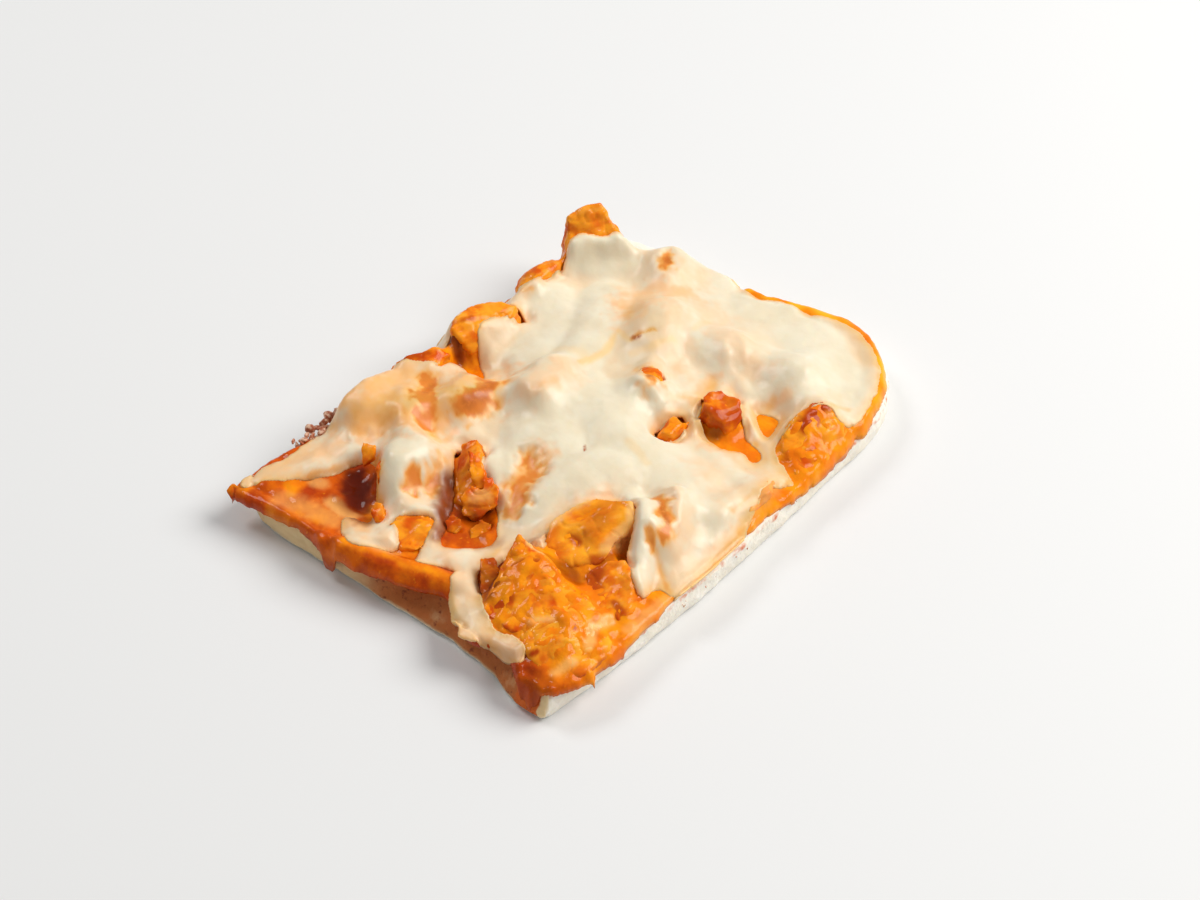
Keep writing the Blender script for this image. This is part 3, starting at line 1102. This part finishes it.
def sauce_fields(outline_depth, chunk_tops):
    """The sauce's cover, foot and top: uneven at its rim, rolled at the front, gathered round chunks."""
    cover = depth_inside(smooth_loop(SAUCE_RIM)) + 0.45 * ripples(5.0, 11) + 0.35 * ripples(2.0, 12)
    level = SAUCE_LEVEL - 0.3 + 0.5 * ripples(7.0, 13) + 0.35 * ripples(3.0, 14) + 0.2 * ripples(1.5, 15)
    bedded = np.maximum(blur(chunk_tops, 1), SAUCE_LEVEL)
    front = (1.0 - ramp(X, 24.0, 34.0)) * (1.0 - ramp(Y, 32.0, 40.0))
    right = ramp(X, 94.0, 102.0) * (1.0 - ramp(X, 122.0, 130.0)) * (1.0 - ramp(Y, 6.0, 14.0))
    front = np.maximum(front, right)
    gathered = filled(bedded, 4.5) * (1.0 - front) + filled(bedded, 9.0) * front
    grain = 0.35 * ripples(2.6, 17) + 0.5 * front * ripples(1.7, 19)
    level = np.maximum(level, gathered - 0.4 + 0.35 * front + grain)
    for line, half_width, height in SAUCE_ROLLS:
        out = np.clip(stroke_reach(line, half_width) + 0.1 * ripples(3.0, 16), 0.0, 1.0)
        level = np.maximum(level, SAUCE_FOOT + 0.9 + height * np.sqrt(1.0 - out**2))
    for *place, strength in DARK_HOLLOWS:
        level -= 1.2 * strength * (1.0 - ramp(reach(*place), 0.2, 1.0)) * (level < SAUCE_LEVEL + 1.5)
    share = np.clip(cover / SAUCE_LIP, 0.0, 1.0)
    lip = np.sqrt(1.0 - (1.0 - share) ** 2)
    spill = np.maximum(SPILL_LEAST, ovals(SPILLS, 0.5, 1.15, 0.3 * ripples(2.4, 20)))
    over_edge = ramp(1.0 - outline_depth, 0.0, 1.8)
    foot = SAUCE_FOOT - 0.3 - spill * over_edge
    top = foot + SAUCE_LEAST + (level - foot - SAUCE_LEAST - 0.35 * spill * over_edge) * lip
    return cover, foot, top


def make_sauce(outline_depth, chunk_tops, material):
    """The coat of sauce, and the height of its top over the plan grid."""
    cover, foot, top = sauce_fields(outline_depth, chunk_tops)
    mesh, x, y = layer_mesh("sauce_coat", cover, top, foot)
    shade = 0.16 * (blur(np.maximum(chunk_tops, top), 10) - top)
    shade = np.maximum(shade, ovals(DARK_HOLLOWS, 0.4, 1.2, 0.25 * ripples(2.6, 18)))
    add_values(mesh, "deep", np.clip(sample(shade, x, y), 0.0, 1.0))
    add_values(mesh, "film", painted(CHEESE_FILMS, x, y, 33))
    amber = np.maximum(ramp(x, 16.0, 60.0), (1.0 - ramp(y, 26.0, 42.0)) * ramp(x, 1.0, 9.0))
    amber = np.maximum(amber, painted(AMBERED, x, y, 37))
    add_values(mesh, "honey", ramp(x, 118.0, 146.0) * ramp(ripples(4.0, 39, x, y), -0.9, 0.3))
    add_values(mesh, "amber", np.clip(amber + 0.25 * ripples(5.0, 35, x, y), 0.0, 1.0))
    piece = new_piece("sauce_coat", mesh, material, "sauce", "sauce")
    return piece, np.where(cover > 0.0, top, 0.0)


def cheese_cover():
    """Above zero where cheese lies: inside its rim and out of its holes, with a slightly uneven edge."""
    cover = depth_inside(smooth_loop(CHEESE_RIM))
    for hole in CHEESE_HOLES:
        cover = np.minimum(cover, -depth_inside(smooth_loop(hole)))
    return cover + 0.35 * ripples(2.8, 21) + 0.15 * ripples(1.2, 22)


def press_under(pieces, cover, foot):
    """Lowers what would poke up through the cheese."""
    room = foot - 0.3 + 6.0 * (1.0 - ramp(cover, 0.4, 1.6))
    for piece in pieces:
        points = plan_of(piece.data)
        points[:, 2] = np.minimum(points[:, 2], sample(room, points[:, 0], points[:, 1]))
        put_points(piece.data, points)


def draped(ground, cover):
    """The sheet's underside: it bridges the hollows between the toppings and settles near its own rim."""
    heap = np.zeros(X.shape)
    for *place, height in HEAPS:
        heap += height * (1.0 - ramp(reach(*place), 0.25, 1.1))
    heap = heap * ramp(cover, -1.0, 9.0)
    sheet = blur(filled(np.maximum(blur(ground, 2), SAUCE_LEVEL + heap), CHEESE_BRIDGE), 8)
    calm = 0.85 * ramp(X, 80.0, 104.0) * ramp(cover, 2.0, 8.0)
    sheet = sheet + calm * (blur(sheet, 110) - sheet)
    gap = sheet - blur(ground, 2)
    settled = (1.0 - ramp(cover, 0.2, 3.4)) * (1.0 - ramp(gap, 2.2, 4.6))
    return sheet - settled * gap


def thick_lobes():
    """How much thicker the cheese is where it ran together in lobes."""
    lobes = np.zeros(X.shape)
    for line, half_width, extra in CHEESE_LOBES:
        out = np.clip(stroke_reach(line, 1.15 * half_width) + 0.12 * ripples(7.0, 24), 0.0, 1.0)
        lobes = np.maximum(lobes, 1.15 * extra * (1.0 - out**2.2))
    return blur(lobes, 6) * (1.0 - 0.4 * ramp(X, 80.0, 100.0))


def cheese_thickness(lobes):
    """The sheet's thickness: more in lobes, less over crests and where sauce shows through."""
    crest = ovals(THIN_CRESTS, 0.35, 1.2, 0.2 * ripples(3.0, 27))
    bled = painted(BLED, X, Y, 43, **BLED_EDGE)
    thickness = (CHEESE_THICKNESS + 0.25 * ripples(9.0, 23) + lobes) * (1.0 - CREST_THINNING * crest)
    return thickness * (1.0 - BLED_THINNING * np.minimum(bled, 1.0))


def cheese_lip(cover, lobes, wide):
    """0 at the cheese's edge and 1 inside: a round over thick cheese, a long slope where it melted."""
    width = 2.0 + 2.2 * (1.0 - ramp(lobes, 0.5, 1.6)) + 3.5 * wide
    share = np.clip(cover / width, 0.0, 1.0)
    lip = np.sqrt(np.clip(1.0 - (1.0 - share) ** 2, 0.0, 1.0))
    return lip + (ramp(share, -0.2, 1.0) - lip) * (0.5 + 0.5 * wide)


def add_cheese_values(mesh, x, y, thin, rim_bleed):
    """The tones of melted cheese: blushed where thin, bleeding sauce at its edge, and the painted marks."""
    blush = painted(BLUSHED, x, y, 41, rough=0.35, soft=(0.0, 1.5))
    add_values(mesh, "blush", np.maximum(sample(thin, x, y), blush))
    bled = painted(BLED, x, y, 43, **BLED_EDGE)
    add_values(mesh, "bleed", np.clip(np.maximum(sample(rim_bleed, x, y), bled), 0.0, 1.5))
    add_values(mesh, "shade", painted(SHADED, x, y, 49, rough=0.2, soft=(0.0, 1.4)))
    add_values(mesh, "brown", painted(BROWNED, x, y, 45))
    add_values(mesh, "oil", painted(OILED, x, y, 47))


def make_cheese(ground, beneath, material):
    """The draped sheet over the ground's heights, with the pieces beneath it pressed clear of it."""
    cover = cheese_cover()
    sheet = draped(ground, cover)
    lobes = thick_lobes()
    thickness = cheese_thickness(lobes)
    wide = np.zeros(X.shape)
    for area in MELTED_EDGES:
        wide = np.maximum(wide, 1.0 - ramp(reach(*area), 0.7, 1.2))
    lip = cheese_lip(cover, lobes, wide)
    swelled = blur(swept(sheet, CHEESE_ROUND) - CHEESE_ROUND, 3)
    top = sheet + 0.05 + (swelled - sheet + blur(thickness, 1)) * lip
    top += (0.2 * ripples(4.2, 25) + 0.08 * ripples(1.9, 26)) * lip
    foot = sheet - 0.1 - 0.4 * (1.0 - lip)
    press_under(beneath, cover, foot)
    mesh, x, y = layer_mesh("cheese_sheet", cover, top, foot)
    thin = 0.6 * (1.0 - ramp(blur(thickness * lip, 2), 0.3, 1.6))
    rim_bleed = 0.6 * (1.0 - ramp(cover, 0.0, 1.8 + 2.6 * wide))
    add_cheese_values(mesh, x, y, thin, rim_bleed)
    return new_piece("cheese_sheet", mesh, material, "cheese", "cheese")


# ---------------------------------------------------------------------------------------------------
# Stage
# ---------------------------------------------------------------------------------------------------


def make_floor():
    shape = bmesh.new()
    bmesh.ops.create_grid(shape, x_segments=1, y_segments=1, size=FLOOR_REACH)
    data = made_mesh("floor", shape)
    floor = bpy.data.objects.new("floor", data)
    bpy.context.scene.collection.objects.link(floor)
    paint = bpy.data.materials.new("floor_paint")
    paint.use_nodes = True
    shader = paint.node_tree.nodes["Principled BSDF"]
    shader.inputs["Base Color"].default_value = FLOOR_GREY
    shader.inputs["Roughness"].default_value = 0.7
    data.materials.append(paint)


def make_light(name, place, size, power, colour):
    """A round lamp that faces the slice's middle."""
    light = bpy.data.lights.new(name, "AREA")
    light.shape = "DISK"
    light.size = size
    light.energy = power
    light.color = colour
    lamp = bpy.data.objects.new(name, light)
    lamp.location = place
    lamp.rotation_euler = (-Vector(place)).to_track_quat("-Z", "Y").to_euler()
    bpy.context.scene.collection.objects.link(lamp)


def make_stage():
    make_floor()
    make_light("key_window", place=(0.76, -0.62, 1.0), size=1.0, power=19.0, colour=(1.0, 0.98, 0.945))
    make_light("back_window", place=(-0.1, 0.9, 1.1), size=0.5, power=5.0, colour=(1.0, 1.0, 1.0))
    world = bpy.data.worlds.new("room")
    world.use_nodes = True
    sky = world.node_tree.nodes["Background"]
    sky.inputs["Color"].default_value = ROOM_COLOUR
    sky.inputs["Strength"].default_value = ROOM_STRENGTH
    bpy.context.scene.world = world
    bpy.context.scene.view_settings.view_transform = "Standard"


def make_camera():
    """The eye stands off the front corner and looks down on the slice's middle."""
    camera = bpy.data.cameras.new("camera")
    camera.lens = LENS
    camera.sensor_width = SENSOR
    eye = bpy.data.objects.new("camera", camera)
    eye.location = EYE
    eye.rotation_euler = LOOKING.to_track_quat("-Z", "Y").to_euler()
    bpy.context.scene.collection.objects.link(eye)
    bpy.context.scene.camera = eye


def main():
    make_stage()
    make_camera()
    make_dough(dough_finish())
    chicken = chicken_finish()
    chunks = [make_chunk(node, chicken) for node in CHUNK_NODES]
    make_bits(chicken)
    crumb = crumb_finish()
    make_crumbs("back_crumbs", BACK_CRUMBS, 26, sizes=(0.8, 2.2), seed=51, material=crumb, slot="chicken")
    make_crumbs("side_crumbs", SIDE_CRUMBS, 12, sizes=(0.15, 0.38), seed=52, material=crumb, slot="dough")
    outline_depth = depth_inside(dough_outline())
    chunk_tops = relief_of(chunks)
    sauce, sauce_top = make_sauce(outline_depth, chunk_tops, sauce_finish())
    dough_ground = DOUGH_TOP * ramp(outline_depth, -1.5, 0.6)
    ground = np.maximum(np.maximum(chunk_tops, sauce_top * (outline_depth > 0.0)), dough_ground)
    make_cheese(ground, [*chunks, sauce], cheese_finish())


main()
